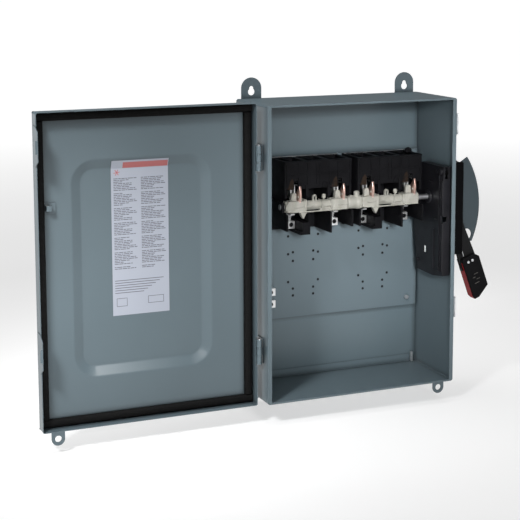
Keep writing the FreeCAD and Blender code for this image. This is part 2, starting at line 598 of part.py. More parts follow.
# ---------------------------------------------------------------- outside handle
def make_handle_base():
    """Black hood on the right-hand wall, slotted for the handle, with a guard plate in its slot."""
    wall_x = "box_width / 2"
    hood = block((wall_x, wall_x + " + base_reach"), ("handle_y - hood_half", "handle_y + hood_half"),
                 ("hood_low", "hood_high"))
    hood = round_edges(hood, "3", lambda edge: edge.BoundBox.XMin > value(wall_x + " + base_reach") - 0.01
                       or (along(edge, "x")))
    tools = [
        block((wall_x + " + wall", wall_x + " + base_reach - hood_skin"),
              ("handle_y - hood_half + hood_skin", "handle_y + hood_half - hood_skin"),
              ("hood_low + hood_skin", "hood_high - hood_skin")),
        block((wall_x + " + hood_cap", wall_x + " + base_reach + 1"),
              ("handle_y - hood_slot", "handle_y + hood_slot"), ("hood_low - 10", "hood_high + 10")),
        block((wall_x + " - 1", wall_x + " + wall + 1"), ("handle_y + 6", "handle_y + 13"),
              ("handle_z - 36", "handle_z + 36")),
        rod("y", ("handle_x", "handle_z"), ("handle_y - 40", "handle_y + 40"), "pivot_radius"),
    ]
    finish_node("handle_hood", cut(hood, *tools))
    through = ("handle_y - hood_half", "handle_y + hood_half")
    pin = rod("y", ("handle_x", "handle_z"), through, "pivot_radius")
    finish_node("handle_pivot_pin", pin)

    span = ("handle_y - guard_thick / 2", "handle_y + guard_thick / 2")
    plate = common(rod("y", ("guard_arc_x", "guard_arc_z"), span, "guard_arc"),
                   rod("y", ("handle_x", "handle_z"), span, "guard_reach"),
                   block((wall_x + " + wall", "400"), span, ("guard_low", "500")))
    wide = ("handle_y - 9", "handle_y + 9")
    tip = ("guard_tip", "0", "handle_z + guard_reach - 5")
    corner = block(("guard_tip - 60", "guard_tip"), wide, ("handle_z + 40", "handle_z + guard_reach + 30"))
    finish_node("guard_plate", cut(plate, turned(corner, "y", "58", tip),
                                   rod("y", ("guard_hole_x", "guard_hole_z"), wide, "guard_hole"),
                                   rod("y", ("handle_x", "handle_z"), wide, "pivot_radius"),
                                   block(("200", "guard_hole_x"), wide,
                                         ("guard_low - 1", "guard_hole_z"))))


def make_handle():
    """Forked arm, two-part grip and screws, modelled hanging down and then swung to OFF."""
    off = FreeCAD.Placement(Vector(value("handle_x"), 0, value("handle_z")),
                            FreeCAD.Rotation(AXES["y"], -value("handle_lean")))
    inner = "guard_thick / 2 + arm_gap"
    front = (f"handle_y - ({inner}) - arm_thick", f"handle_y - ({inner})")
    rear = (f"handle_y + ({inner})", f"handle_y + ({inner}) + arm_thick")
    outline = [("-arm_half", "0"), ("arm_half", "0"),
               ("arm_foot", "0 - web_end"), ("-arm_foot", "0 - web_end")]
    parts = [plate(outline, front), plate(outline, rear),
             rod("y", ("0", "0"), front, "arm_half"), rod("y", ("0", "0"), rear, "arm_half"),
             block(("-arm_foot", "arm_foot"), (front[0], rear[1]), ("0 - web_end", "0 - web_start")),
             block(("-9", "9"), ("handle_y - 4", "handle_y + 4"), ("20 - grip_end", "0 - web_end")),
             block(("-4.6", "4.6"), rear, ("0", "crank_reach")),
             rod("y", ("0", "crank_reach"), rear, "pin_radius + 1.6"),
             rod("y", ("0", "crank_reach"), (rear[0], "handle_y + 12.5"), "pin_radius")]
    bore = rod("y", ("0", "0"), ("handle_y - 30", "handle_y + 30"), "pivot_radius + running_gap")
    arm = cut(fuse(*parts), bore)

    outline = [("-grip_left", "-3 - grip_start"), ("3 - grip_left", "0 - grip_start"),
               ("grip_right - 10", "0 - grip_start"), ("grip_right", "-10 - grip_start"),
               ("grip_right", "0 - grip_side"), ("-4", "0 - grip_end"),
               ("4 - grip_left", "0 - grip_end"), ("-grip_left", "8 - grip_end")]
    body = plate(outline, ("handle_y - grip_thick / 2", "handle_y + grip_thick / 2"))
    body = round_edges(body, "5", lambda edge: not along(edge, "y"))
    wide = ("handle_y - insert_half", "handle_y + insert_half")
    insert = fuse(block(("-grip_left", "7 - grip_left"), wide, ("0 - grip_end", "-8 - grip_start")),
                  block(("-grip_left", "grip_right - 16"), wide, ("0 - grip_end", "8 - grip_end")))
    fork = block(("-grip_right - 1", "grip_right + 1"), (f"{front[0]} - 0.3", f"{rear[1]} + 0.3"),
                 ("0 - web_end", "1 - grip_start"))
    screws = [rod("y", (f"{side * 5.4}", "-11 - grip_start"),
                  ("handle_y - grip_thick / 2 - 1.6", front[1]), "2.9")
              for side in (-1, 1)]
    insert_solid = cut(common(insert, body), arm, fork)
    grip = cut(body, arm, fork, insert, *screws)
    arm_drilled = cut(arm, *screws)
    finish_node("handle_arm", arm_drilled, off)
    finish_node("grip_insert", insert_solid, off)
    finish_node("handle_grip", grip, off)
    finish_node("handle_screws", group(*screws), off)


# ---------------------------------------------------------------- door
def opened():
    """Half a turn about the hinge axis, from closed to fully open."""
    return FreeCAD.Placement(Vector(2 * value("hinge_x"), 2 * value("hinge_y"), 0),
                             FreeCAD.Rotation(AXES["z"], 180))


def make_door():
    """Door pan with flanges and a pressed field, its gasket, label and interlock catch."""
    body = new_body("door_panel")
    sketch = new_sketch(body, "XZ", "door_edge")
    rectangle(sketch, ("-door_half", "door_half"), ("door_low", "door_high"))
    pad(body, sketch, "door_front - door_edge")
    fillet(body, "4", lambda edge: along(edge, "y"))
    front = -value("door_front")
    fillet(body, "2.5", lambda edge: edge.BoundBox.YMax < front + 0.01)
    sketch = new_sketch(body, "XZ", "door_front - door_skin")
    rounded_rectangle(sketch, ("door_skin - door_half", "door_half - door_skin"),
                      ("door_low + door_skin", "door_high - door_skin"), "2.5")
    pocket(body, sketch, "door_front - door_edge")
    # pressed field: a shallow sloped pan standing out of the front
    for name, low, high, inset in (("AdditiveLoft", "door_front - 0.5", "door_front + panel_rise", "0"),
                                   ("SubtractiveLoft", "door_front - door_skin - 0.5",
                                    "door_front + panel_rise - door_skin", "door_skin")):
        rings = []
        for offset, slope in ((low, "0"), (high, "panel_slope")):
            sketch = new_sketch(body, "XZ", offset)
            edge = f"({inset}) + ({slope})"
            rounded_rectangle(sketch, (f"panel_left + {edge}", f"panel_right - ({edge})"),
                              (f"panel_low + {edge}", f"panel_high - ({edge})"), f"panel_radius - ({edge})")
            rings.append(sketch)
        item = body.newObject("PartDesign::" + name, body.Label + "_field")
        item.Profile = rings[0]
        item.Sections = [rings[1]]
        doc.recompute()
    # room for the hinge knuckles
    for level in ("hinge_high", "hinge_low"):
        sketch = new_sketch(body, "YZ", "5 - door_half")
        rectangle(sketch, ("0 - door_edge - 6.5", "1 - door_edge"),
                  (f"{level} - hinge_half - 5", f"{level} + hinge_half + 5"))
        pocket(body, sketch, "10")
    finish_node("door_panel", body, opened())

    outer = "door_skin + 1"
    seat = ("0 - door_front + door_skin", "0 - door_front + door_skin + gasket_thick")
    ring = cut(block((f"{outer} - door_half", f"door_half - ({outer})"), seat,
                     (f"door_low + {outer}", f"door_high - ({outer})")),
               block((f"{outer} + gasket_wide - door_half", f"door_half - ({outer}) - gasket_wide"),
                     ("-200", "-100"), (f"door_low + {outer} + gasket_wide",
                                        f"door_high - ({outer}) - gasket_wide")))
    finish_node("door_gasket", ring, opened())

    floor = "0 - door_front - panel_rise + door_skin"
    depth = (floor, f"{floor} + label_thick")
    label = block(("label_left", "label_right"), depth, ("label_low", "label_high"))
    finish_node("label_plate", group(label), opened())

    skin = "0 - door_front + door_skin"
    catch = fuse(block(("184", "206"), (skin, f"{skin} + 1.5"), ("424", "446")),
                 block(("195", "205"), (skin, f"{skin} + 14"), ("431", "441")))
    finish_node("interlock_catch", catch, opened())


def make_hinge(name, level):
    """Three-knuckle hinge: the middle knuckle on the box, the outer two on the door."""
    axis = ("hinge_x", "hinge_y")
    low, high = f"{level} - hinge_half", f"{level} + hinge_half"
    wall_x = "0 - box_width / 2"
    middle = (f"{level} - 8.5", f"{level} + 8.5")
    leaf = fuse(rod("z", axis, middle, "knuckle_radius"),
                block(("hinge_x", wall_x), ("hinge_y + knuckle_radius - leaf", "hinge_y + knuckle_radius"),
                      middle),
                block((f"{wall_x} - leaf", wall_x), ("hinge_y + knuckle_radius - leaf", "hinge_y + 36"),
                      (low, high)))
    finish_node(f"box_hinge_leaf_{name}", cut(leaf, rod("z", axis, (low, high), "hinge_pin")))
    pin = fuse(rod("z", axis, (f"{low} - 1", f"{high} + 0.4"), "hinge_pin"),
               rod("z", axis, (f"{high} + 0.4", f"{high} + 2"), "knuckle_radius - 1.5"))
    finish_node(f"hinge_pin_{name}", pin)

    flange = "0 - door_half"
    parts = [block((f"{flange} - leaf", flange), ("hinge_y - 28", "hinge_y - 8"), (low, high))]
    for start, end in ((low, f"{level} - 9"), (f"{level} + 9", high)):
        parts.append(rod("z", axis, (start, end), "knuckle_radius"))
        parts.append(block((f"{flange} - leaf", flange), ("hinge_y - 9", "hinge_y"), (start, end)))
    leaf = cut(fuse(*parts), rod("z", axis, (low, high), "hinge_pin + running_gap"))
    finish_node(f"door_hinge_leaf_{name}", leaf, opened())


def make_latch(name, level):
    """Draw latch on the right-hand wall and its keeper on the door flange."""
    wall_x = "box_width / 2"
    axis = ("latch_pin_x", "latch_pin_y")
    height = (f"{level} - latch_half", f"{level} + latch_half")
    plate = block((wall_x, wall_x + " + 2"), ("-132", "-92"), height)
    ears = [block((wall_x + " + 2", "latch_pin_x + 3.5"), ("latch_pin_y - 6", "latch_pin_y + 6"),
                  (f"{level} + {low}", f"{level} + {high}")) for low, high in ((-16, -13), (13, 16))]
    pin = rod("z", axis, (f"{level} - 16", f"{level} + 16"), "2")
    finish_node(f"latch_base_{name}", fuse(plate, *ears, pin))

    high_side = "latch_pin_x + 3"
    tongue = block((high_side, "latch_pin_x + 5"), ("latch_pin_y", "latch_pin_y + 42"),
                   (f"{level} - 12", f"{level} + 12"))
    tip = block((high_side, "latch_pin_x + 9"), ("latch_pin_y + 40", "latch_pin_y + 42"),
                (f"{level} - 12", f"{level} + 12"))
    barrel = rod("z", axis, (f"{level} - 12", f"{level} + 12"), "4.5")
    cheek = block(("latch_pin_x", "bail_x + 3.5"), ("bail_y - 3.5", "bail_y + 3.5"),
                  (f"{level} - 12", f"{level} + 12"))
    lever = cut(fuse(tongue, tip, barrel, cheek),
                rod("z", axis, (f"{level} - 20", f"{level} + 20"), "2 + running_gap"),
                rod("z", ("bail_x", "bail_y"), (f"{level} - 20", f"{level} + 20"), "bail_wire + running_gap"))
    finish_node(f"latch_lever_{name}", lever)

    # wire loop: two trunnions, two arms and a cross bar, drawn straight and then swung
    ends = [(f"{level} - 21", f"{level} - 7"), (f"{level} + 7", f"{level} + 21")]
    wires = [rod("z", ("bail_x", "bail_y"), end, "bail_wire") for end in ends]
    bar = (f"{level} - 21", f"{level} + 21")
    wires.append(rod("z", ("bail_x + bail_reach", "bail_y"), bar, "bail_wire"))
    for spot in (f"{level} - 21", f"{level} + 21"):
        wires.append(rod("x", ("bail_y", spot), ("bail_x", "bail_x + bail_reach"), "bail_wire"))
        for corner in ("bail_x", "bail_x + bail_reach"):
            ball = doc.addObject("Part::Sphere", "ball")
            bind(ball, "Radius", "bail_wire")
            for letter, place in zip("xyz", (corner, "bail_y", spot)):
                bind(ball, f".Placement.Base.{letter}", place)
            wires.append(ball)
    bail = fuse(*wires)
    finish_node(f"latch_bail_{name}", turned(bail, "z", "bail_angle", ("bail_x", "bail_y", "0")))

    body = new_body(f"keeper_{name}")
    sketch = new_sketch(body, "YZ", "door_half")
    polygon(sketch, [("-174", f"{level} - 39"), ("-154", f"{level} - 39"), ("-136", f"{level} - 28"),
                     ("-136", f"{level} + 28"), ("-154", f"{level} + 39"), ("-174", f"{level} + 39")])
    pad(body, sketch, "door_skin")
    sketch = new_sketch(body, "YZ", "door_half + 0.5")
    rectangle(sketch, ("-137.5", "-136"), (f"{level} - 13", f"{level} + 13"))
    pad(body, sketch, "5")
    finish_node(f"keeper_{name}", body, opened())


def make_padlock_points():
    """Matching drilled tabs under the box and under the door's free corner."""
    through = ("-170", "-140")
    centre = ("lock_x", "lock_z")
    wide = ("lock_x - lock_round", "lock_x + lock_round")
    fixed = fuse(block(wide, ("-150", "-147.5"), ("lock_z", "0")),
                 rod("y", centre, ("-150", "-147.5"), "lock_round"),
                 block(wide, ("-150", "-128"), ("-2", "0")))
    finish_node("padlock_loop", cut(fixed, rod("y", centre, through, "shackle_radius")))
    moving = fuse(block(wide, ("-156.5", "-154"), ("lock_z", "door_low")),
                  rod("y", centre, ("-156.5", "-154"), "lock_round"))
    finish_node("door_padlock_tab", cut(moving, rod("y", centre, through, "shackle_radius")), opened())


def make_ground():
    """Ground bar on the pan with two cable lugs."""
    bar = block(("ground_x - 34", "ground_x + 12"), ("-3 - pan_front", "0 - pan_front"),
                ("ground_low - 14", "ground_high + 14"))
    lugs = []
    for level in ("ground_high", "ground_low"):
        lug = block(("ground_x - 10", "ground_x + 10"), ("ground_y", "-3 - pan_front"),
                    (f"{level} - 8", f"{level} + 8"))
        lugs.append(cut(lug, rod("z", ("ground_x", "-26"), (f"{level} - 10", f"{level} + 10"), "5.5"),
                        rod("y", ("ground_x", level), ("ground_y - 1", "-30"), "4")))
    finish_node("ground_bar", fuse(bar, *lugs))


# ---------------------------------------------------------------- build, check and write
def make_all():
    make_enclosure()
    for side, word in ((-1, "left"), (1, "right")):
        make_wall_tab(f"wall_tab_top_{word}", side, True)
        make_wall_tab(f"wall_tab_bottom_{word}", side, False)
    make_pan()
    make_screws()
    for word in ("left", "right"):
        make_line_base(f"line_base_{word}", f"group_{word}")
        make_load_base(f"load_base_{word}", f"group_{word}")
    make_terminals()
    make_rotor()
    make_mechanism()
    make_handle_base()
    make_handle()
    make_door()
    for name, word in (("upper", "high"), ("lower", "low")):
        make_hinge(name, f"hinge_{word}")
        make_latch(name, f"latch_{word}")
    make_padlock_points()
    make_ground()


def check_and_write():
    """Stop on any failed object or bad shape, then write every sub-part."""
    doc.recompute()
    failed = [item.Label for item in doc.Objects if {"Invalid", "Error"} & set(item.State)]
    bad = [label for label, item in nodes.items() if item.Shape.isNull() or not item.Shape.isValid()]
    if failed or bad:
        raise SystemExit(f"failed objects: {failed}; bad shapes: {bad}")
    os.makedirs("parts", exist_ok=True)
    for label, item in nodes.items():
        item.Shape.exportStep(f"parts/{label}.step")
        box = item.Shape.BoundBox
        print(f"{label:24s} solids {len(item.Shape.Solids)} volume {item.Shape.Volume / 1000:9.2f} cm3 "
              f"x {box.XMin:.1f}..{box.XMax:.1f} y {box.YMin:.1f}..{box.YMax:.1f} "
              f"z {box.ZMin:.1f}..{box.ZMax:.1f}")
    print(len(nodes), "sub-parts")


make_all()
check_and_write()
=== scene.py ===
import json
import math

import bmesh
import bpy
from mathutils import Matrix, Vector


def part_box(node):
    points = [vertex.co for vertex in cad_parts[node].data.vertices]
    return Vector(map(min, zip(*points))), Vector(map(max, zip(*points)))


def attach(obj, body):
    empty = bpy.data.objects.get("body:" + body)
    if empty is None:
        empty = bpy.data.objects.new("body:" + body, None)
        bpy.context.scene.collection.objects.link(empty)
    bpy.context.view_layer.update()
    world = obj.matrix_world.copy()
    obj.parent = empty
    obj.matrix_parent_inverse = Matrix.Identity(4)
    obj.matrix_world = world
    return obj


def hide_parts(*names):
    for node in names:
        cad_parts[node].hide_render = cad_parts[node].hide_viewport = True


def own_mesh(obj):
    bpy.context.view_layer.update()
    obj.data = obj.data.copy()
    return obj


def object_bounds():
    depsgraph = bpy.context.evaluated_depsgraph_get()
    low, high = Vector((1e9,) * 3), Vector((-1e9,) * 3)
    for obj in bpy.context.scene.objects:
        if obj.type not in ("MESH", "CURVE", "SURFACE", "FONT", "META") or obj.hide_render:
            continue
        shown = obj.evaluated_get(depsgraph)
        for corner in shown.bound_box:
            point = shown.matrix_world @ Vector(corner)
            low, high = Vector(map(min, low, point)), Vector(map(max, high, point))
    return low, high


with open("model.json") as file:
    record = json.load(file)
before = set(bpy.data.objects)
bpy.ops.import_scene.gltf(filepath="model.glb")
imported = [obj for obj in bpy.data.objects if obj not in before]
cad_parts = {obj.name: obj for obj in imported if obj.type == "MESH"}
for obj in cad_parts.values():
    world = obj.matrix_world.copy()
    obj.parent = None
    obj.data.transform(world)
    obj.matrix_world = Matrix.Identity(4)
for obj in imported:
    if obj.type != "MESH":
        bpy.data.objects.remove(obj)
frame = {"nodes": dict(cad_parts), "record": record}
cad_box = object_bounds()
record = frame["record"]
nodes = frame["nodes"]
body_of = {node: body for body, members in record["behaviour"]["bodies"].items() for node in members}
slot_of = {entry["node"]: entry["material_slot"] for entry in record["subparts"]}

MM = 0.001
SMOOTH_ANGLE = math.radians(32)


# ---------------------------------------------------------------- material recipes
class Recipe:
    """A node material: short calls that add nodes and feed the one Principled shader."""

    def __init__(self, name):
        self.material = bpy.data.materials.new(name)
        self.material.use_nodes = True
        self.tree = self.material.node_tree
        self.shader = self.tree.nodes["Principled BSDF"]
        self.surface = self.tree.nodes.new("ShaderNodeTexCoord").outputs["Object"]

    def set(self, **values):
        for key, number in values.items():
            self.shader.inputs[key.replace("_", " ")].default_value = number
        return self

    def node(self, kind, inputs=None, **settings):
        item = self.tree.nodes.new("ShaderNode" + kind)
        for key, setting in settings.items():
            setattr(item, key, setting)
        for key, source in (inputs or {}).items():
            if isinstance(source, bpy.types.NodeSocket):
                self.tree.links.new(source, item.inputs[key])
            else:
                item.inputs[key].default_value = source
        return item

    def noise(self, scale, detail=3.0, roughness=0.55, distortion=0.0, stretch=(1, 1, 1)):
        stretched = self.node("Mapping", {"Vector": self.surface, "Scale": stretch}).outputs[0]
        inputs = {"Vector": stretched, "Scale": scale, "Detail": detail, "Roughness": roughness,
                  "Distortion": distortion}
        return self.node("TexNoise", inputs).outputs[0]

    def cells(self, scale):
        return self.node("TexVoronoi", {"Vector": self.surface, "Scale": scale}).outputs[0]

    def ramp(self, source, *stops):
        """Colours along a value: each stop is a position and a colour or a grey."""
        item = self.node("ValToRGB", {"Fac": source})
        ends = item.color_ramp.elements
        while len(ends) < len(stops):
            ends.new(0.5)
        for end, (position, colour) in zip(ends, stops):
            end.position = position
            end.color = (*colour, 1) if isinstance(colour, tuple) else (colour, colour, colour, 1)
        return item.outputs[0]

    def mix(self, share, first, second):
        item = self.node("Mix", data_type="RGBA")
        for index, source in ((0, share), (6, first), (7, second)):
            if isinstance(source, bpy.types.NodeSocket):
                self.tree.links.new(source, item.inputs[index])
            else:
                item.inputs[index].default_value = (*source, 1)
        return item.outputs[2]

    def part_of(self, source, share):
        return self.node("Math", {0: source, 1: share}, operation="MULTIPLY").outputs[0]

    def openness(self, reach, low, high):
        """A share that falls from 1 in the open to 0 in tight corners, used to mix painted shade into
        corners.
        """
        shade = self.node("AmbientOcclusion", {"Distance": reach}, samples=6).outputs["AO"]
        return self.ramp(shade, (low, 0.0), (high, 1.0))

    def feed(self, socket, source):
        self.tree.links.new(source, self.shader.inputs[socket])
        return self

    def bump(self, *layers):
        """Stack height maps: each layer is a source and its depth in metres."""
        normal = None
        for source, depth in layers:
            inputs = {"Height": source, "Distance": depth, "Strength": 1.0}
            if normal is not None:
                inputs["Normal"] = normal
            normal = self.node("Bump", inputs).outputs[0]
        return self.feed("Normal", normal)


def times(colour, factor, extra=0.0):
    """A colour made brighter or darker, kept within white."""
    return tuple(min(1.0, channel * factor + extra) for channel in colour)


def painted(name, colour, corner_shade_colour, rough, shine=0.4):
    """Baked paint on sheet metal: orange peel, faint clouding, and painted shade that darkens its corners and
    creases.
    """
    peel_depth = 0.00004
    shade_reach = 0.012
    recipe = Recipe(name).set(Specular_IOR_Level=shine)
    cloud = recipe.ramp(recipe.noise(5.0, 4.0), (0.35, 0.0), (0.65, 1.0))
    base = recipe.mix(cloud, colour, times(colour, 0.955))
    speck = recipe.ramp(recipe.noise(900.0, 2.0), (0.70, 0.0), (0.78, 1.0))
    base = recipe.mix(recipe.part_of(speck, 0.10), base, times(colour, 1.35))
    # painted shade: corners and creases take the darker colour where the occlusion share is low
    base = recipe.mix(recipe.openness(shade_reach, 0.55, 0.98), corner_shade_colour, base)
    recipe.feed("Base Color", base)
    patches = recipe.ramp(recipe.noise(9.0, 5.0), (0.3, rough - 0.01), (0.7, rough + 0.02))
    recipe.feed("Roughness", patches)
    recipe.bump((recipe.noise(420.0, 2.0), peel_depth), (recipe.noise(38.0, 2.0), peel_depth * 3))
    return recipe.material


def plated(name, colour, rough, along, tint):
    """Bright plated metal with fine drawn lines and slightly dull patches."""
    recipe = Recipe(name).set(Metallic=1.0)
    drawn = recipe.noise(160.0, 6.0, 0.7, stretch=along)
    blotch = recipe.ramp(recipe.noise(60.0, 4.0), (0.35, 0.0), (0.75, 1.0))
    recipe.feed("Base Color", recipe.mix(blotch, colour, tint))
    recipe.feed("Roughness", recipe.ramp(drawn, (0.3, rough), (0.75, rough + 0.22)))
    recipe.bump((drawn, 0.00006), (recipe.noise(55.0, 2.0), 0.00012))
    return recipe.material


def moulded(name, colour, light, rough, grain=0.00006, speck=0.12, shine=0.45):
    """Moulded plastic or thermoset: flow marks, fine grain and pale specks of filler."""
    recipe = Recipe(name).set(Specular_IOR_Level=shine)
    flow = recipe.ramp(recipe.noise(22.0, 5.0, 0.6, 1.2), (0.3, 0.0), (0.75, 1.0))
    base = recipe.mix(flow, colour, light)
    dots = recipe.ramp(recipe.cells(260.0), (0.04, 1.0), (0.16, 0.0))
    base = recipe.mix(recipe.part_of(dots, speck), base, times(light, 2.4, 0.05))
    recipe.feed("Base Color", base)
    recipe.feed("Roughness", recipe.ramp(recipe.noise(35.0, 4.0), (0.3, rough - 0.08), (0.75, rough + 0.1)))
    recipe.bump((recipe.noise(650.0, 3.0), grain), (flow, grain * 1.5))
    return recipe.material


def foam_material():
    """Black foam with a pitted, matt face."""
    recipe = Recipe("gasket_foam").set(Specular_IOR_Level=0.12)
    cells = recipe.cells(620.0)
    recipe.feed("Base Color", recipe.ramp(cells, (0.0, 0.002), (0.6, 0.004), (1.0, 0.007)))
    recipe.feed("Roughness", recipe.ramp(recipe.noise(120.0), (0.3, 0.66), (0.7, 0.85)))
    recipe.bump((cells, 0.0002), (recipe.noise(70.0, 3.0), 0.0003))
    return recipe.material


# painted: name, colour, colour of the painted shade in corners, roughness; moulded: name, colour,
# colour of the flow marks, roughness; plated: name, colour, roughness, stretch of the drawn lines, colour of
# the dull patches
MATERIALS = {
    "enamel": painted("enamel", (0.087, 0.117, 0.133), (0.038, 0.051, 0.058), 0.30),
    "galvanised": painted("pan_enamel", (0.084, 0.112, 0.128), (0.037, 0.050, 0.057), 0.42),
    "guard_paint": painted("guard_paint", (0.032, 0.044, 0.051), (0.017, 0.023, 0.027), 0.42, shine=0.25),
    "hood_moulding": painted("hood_paint", (0.002, 0.002, 0.0023), (0.001, 0.001, 0.001), 0.5, shine=0.03),
    "black_steel": painted("black_oxide", (0.006, 0.006, 0.0065), (0.003, 0.003, 0.003), 0.46, shine=0.12),
    "base_moulding": moulded("base_thermoset", (0.003, 0.003, 0.0036), (0.006, 0.006, 0.007), 0.5,
                             speck=0.06, shine=0.05),
    # the fibre colour is partly a painted reflection: brown for the glow beside each blade
    "fibre": moulded("arc_fibre_painted_reflection", (0.012, 0.008, 0.006), (0.018, 0.012, 0.008), 0.6, speck=0.04, shine=0.06),
    "housing_moulding": moulded("housing_plastic", (0.0055, 0.0055, 0.007), (0.010, 0.010, 0.0125), 0.4,
                                shine=0.25),
    "crossbar_moulding": moulded("cream_thermoset", (0.27, 0.266, 0.24), (0.16, 0.157, 0.134), 0.40,
                                 speck=0.3),
    "grip_black": moulded("grip_plastic", (0.0025, 0.0025, 0.003), (0.005, 0.005, 0.0055), 0.42,
                          grain=0.0001, speck=0.06, shine=0.06),
    "grip_red": moulded("insert_red", (0.24, 0.004, 0.008), (0.30, 0.010, 0.012), 0.42,
                        speck=0.02, shine=0.1),
    "mark_grey": moulded("mark_grey", (0.030, 0.028, 0.026), (0.05, 0.045, 0.04), 0.5),
    "white_flag": moulded("flag_white", (0.78, 0.79, 0.78), (0.70, 0.71, 0.70), 0.5, speck=0.05),
    "copper_blade": plated("copper_blade", (0.54, 0.385, 0.335), 0.30, (1, 8, 1), (0.52, 0.33, 0.28)),
    "tinned": plated("tin_plate", (0.86, 0.87, 0.88), 0.24, (6, 1, 1), (0.70, 0.70, 0.70)),
    "zinc": plated("zinc_plate", (0.74, 0.76, 0.78), 0.26, (1, 1, 5), (0.52, 0.53, 0.55)),
    "steel": plated("plain_steel", (0.52, 0.53, 0.55), 0.32, (1, 1, 6), (0.36, 0.36, 0.37)),
    "foam": foam_material(),
    "label": painted("label_paper", (0.30, 0.322, 0.372), (0.24, 0.26, 0.30), 0.55),
    "label_red": painted("label_red_ink", (0.36, 0.11, 0.11), (0.30, 0.09, 0.09), 0.5),
    "label_grey": painted("label_grey_ink", (0.09, 0.097, 0.115), (0.07, 0.075, 0.09), 0.55),
}


# ---------------------------------------------------------------- mesh helpers
def finished(obj):
    """Bake an object's modifiers into its mesh."""
    bpy.context.view_layer.update()
    graph = bpy.context.evaluated_depsgraph_get()
    mesh = bpy.data.meshes.new_from_object(obj.evaluated_get(graph), depsgraph=graph)
    obj.modifiers.clear()
    obj.data = mesh


def paint(obj, slot):
    obj.data.materials.clear()
    obj.data.materials.append(MATERIALS[slot])


def place(name, mesh, slot, body):
    """Link a finished mesh as a piece with its material, riding on a body."""
    obj = bpy.data.objects.new(name, mesh)
    bpy.context.scene.collection.objects.link(obj)
    paint(obj, slot)
    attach(obj, body)
    return obj


def smooth(obj):
    for face in obj.data.polygons:
        face.use_smooth = True


def soften(obj, width, segments=2):
    """Real bevels on an object's sharp edges, with clean shading."""
    bevel = obj.modifiers.new("bevel", "BEVEL")
    bevel.width = width
    bevel.segments = segments
    bevel.limit_method = "ANGLE"
    bevel.angle_limit = SMOOTH_ANGLE
    bevel.harden_normals = True
    bevel.use_clamp_overlap = True
    weighted = obj.modifiers.new("weighted", "WEIGHTED_NORMAL")
    weighted.keep_sharp = True
    weighted.weight = 90
    smooth(obj)
    finished(obj)


def clean_copy(node, press):
    """The CAD node's mesh, welded and with its flat triangles joined; press rounds its shallow folds."""
    weld_reach = 0.00001
    flat = math.radians(0.5)
    shallow, steep = math.radians(14), math.radians(28)
    work = bmesh.new()
    work.from_mesh(nodes[node].data)
    bmesh.ops.remove_doubles(work, verts=work.verts, dist=weld_reach)
    bmesh.ops.dissolve_limit(work, angle_limit=flat, verts=work.verts, edges=work.edges, delimit={"NORMAL"})
    if press:
        folds = [edge for edge in work.edges
                 if len(edge.link_faces) == 2 and shallow < edge.calc_face_angle() < steep]
        bmesh.ops.bevel(work, geom=folds, offset=press * MM, segments=4, profile=0.5, affect="EDGES")
    mesh = bpy.data.meshes.new(node + "_shape")
    work.to_mesh(mesh)
    work.free()
    return mesh


def dressed(node, edge, slot, press):
    """Stand a bevelled, finished copy in for a CAD node; edge and press are roundings in millimetres."""
    obj = place("look_" + node, clean_copy(node, press), slot, body_of[node])
    soften(obj, edge * MM)
    paint(obj, slot)
    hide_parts(node)


def corners(node):
    """A CAD node's lowest and highest corners at rest, in millimetres."""
    return [Vector(corner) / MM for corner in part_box(node)]


def middle(node):
    low, high = corners(node)
    return (low + high) / 2


def ring_of(radius, sides, centre=(0, 0), start=0.0, sweep=360.0):
    """Points along a circle or an arc, angles in degrees."""
    count = sides if sweep >= 360 else sides + 1
    angles = [math.radians(start + sweep * step / sides) for step in range(count)]
    return [(centre[0] + radius * math.cos(a), centre[1] + radius * math.sin(a)) for a in angles]


def lift(axis, along, first, second):
    """A point from its place along an axis and its two other coordinates, kept in x, y, z order."""
    return {"x": (along, first, second), "y": (first, along, second), "z": (first, second, along)}[axis]


